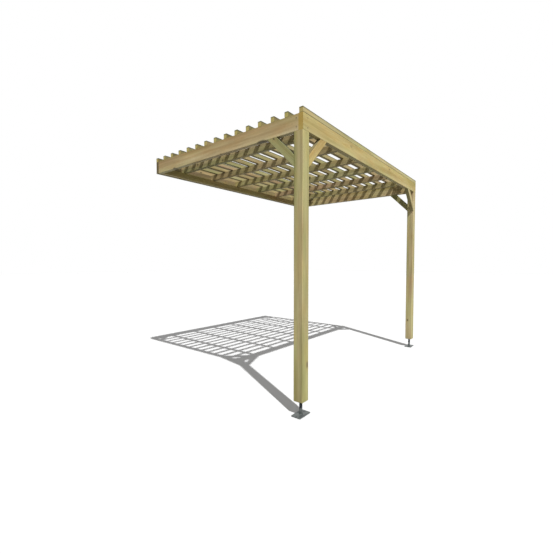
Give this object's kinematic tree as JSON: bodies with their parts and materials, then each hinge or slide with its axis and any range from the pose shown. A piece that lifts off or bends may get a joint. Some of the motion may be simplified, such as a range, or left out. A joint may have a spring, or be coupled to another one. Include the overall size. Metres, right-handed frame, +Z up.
{
  "type": "lean-to pergola",
  "caption": "Flat-roofed timber lean-to pergola: braced posts on steel screw feet carry a slatted roof frame that is fixed to a wall at the back.",
  "frame": {"origin": "on the ground, under the middle of the whole object's box", "axes": "+X along the wall, to the right as seen from the garden; +Y from the front to the wall; +Z up"},
  "size_m": [3.065, 2.09, 2.5],
  "materials": {
    "timber": "planed, pressure treated",
    "foot_steel": "galvanised"
  },
  "bodies": {
    "frame": {"back_left_corner_brace": "timber", "back_right_corner_brace": "timber", "batten_01": "timber", "batten_02": "timber", "batten_03": "timber", "batten_04": "timber", "batten_05": "timber", "batten_06": "timber", "batten_07": "timber", "batten_08": "timber", "batten_09": "timber", "batten_10": "timber", "batten_11": "timber", "batten_12": "timber", "batten_13": "timber", "batten_14": "timber", "batten_15": "timber", "front_beam": "timber", "front_left_corner_brace": "timber", "front_right_corner_brace": "timber", "left_foot_bush": "foot_steel", "left_front_knee_brace": "timber", "left_post": "timber", "left_side_beam": "timber", "left_side_knee_brace": "timber", "rafter_1": "timber", "rafter_2": "timber", "rafter_3": "timber", "rafter_4": "timber", "rafter_5": "timber", "rafter_6": "timber", "right_foot_bush": "foot_steel", "right_front_knee_brace": "timber", "right_post": "timber", "right_side_beam": "timber", "right_side_knee_brace": "timber", "wall_bearer": "timber", "wall_plate": "timber"},
    "left_foot": {"left_foot_plate": "foot_steel", "left_foot_rod": "foot_steel"},
    "right_foot": {"right_foot_plate": "foot_steel", "right_foot_rod": "foot_steel"}
  },
  "joints": [
    {"name": "left_foot_height", "type": "slide", "parent": "frame", "child": "left_foot", "axis": [0, 0, -1], "range_m": [-0.03, 0.03]},
    {"name": "right_foot_height", "type": "slide", "parent": "frame", "child": "right_foot", "axis": [0, 0, -1], "range_m": [-0.03, 0.03]}
  ]
}
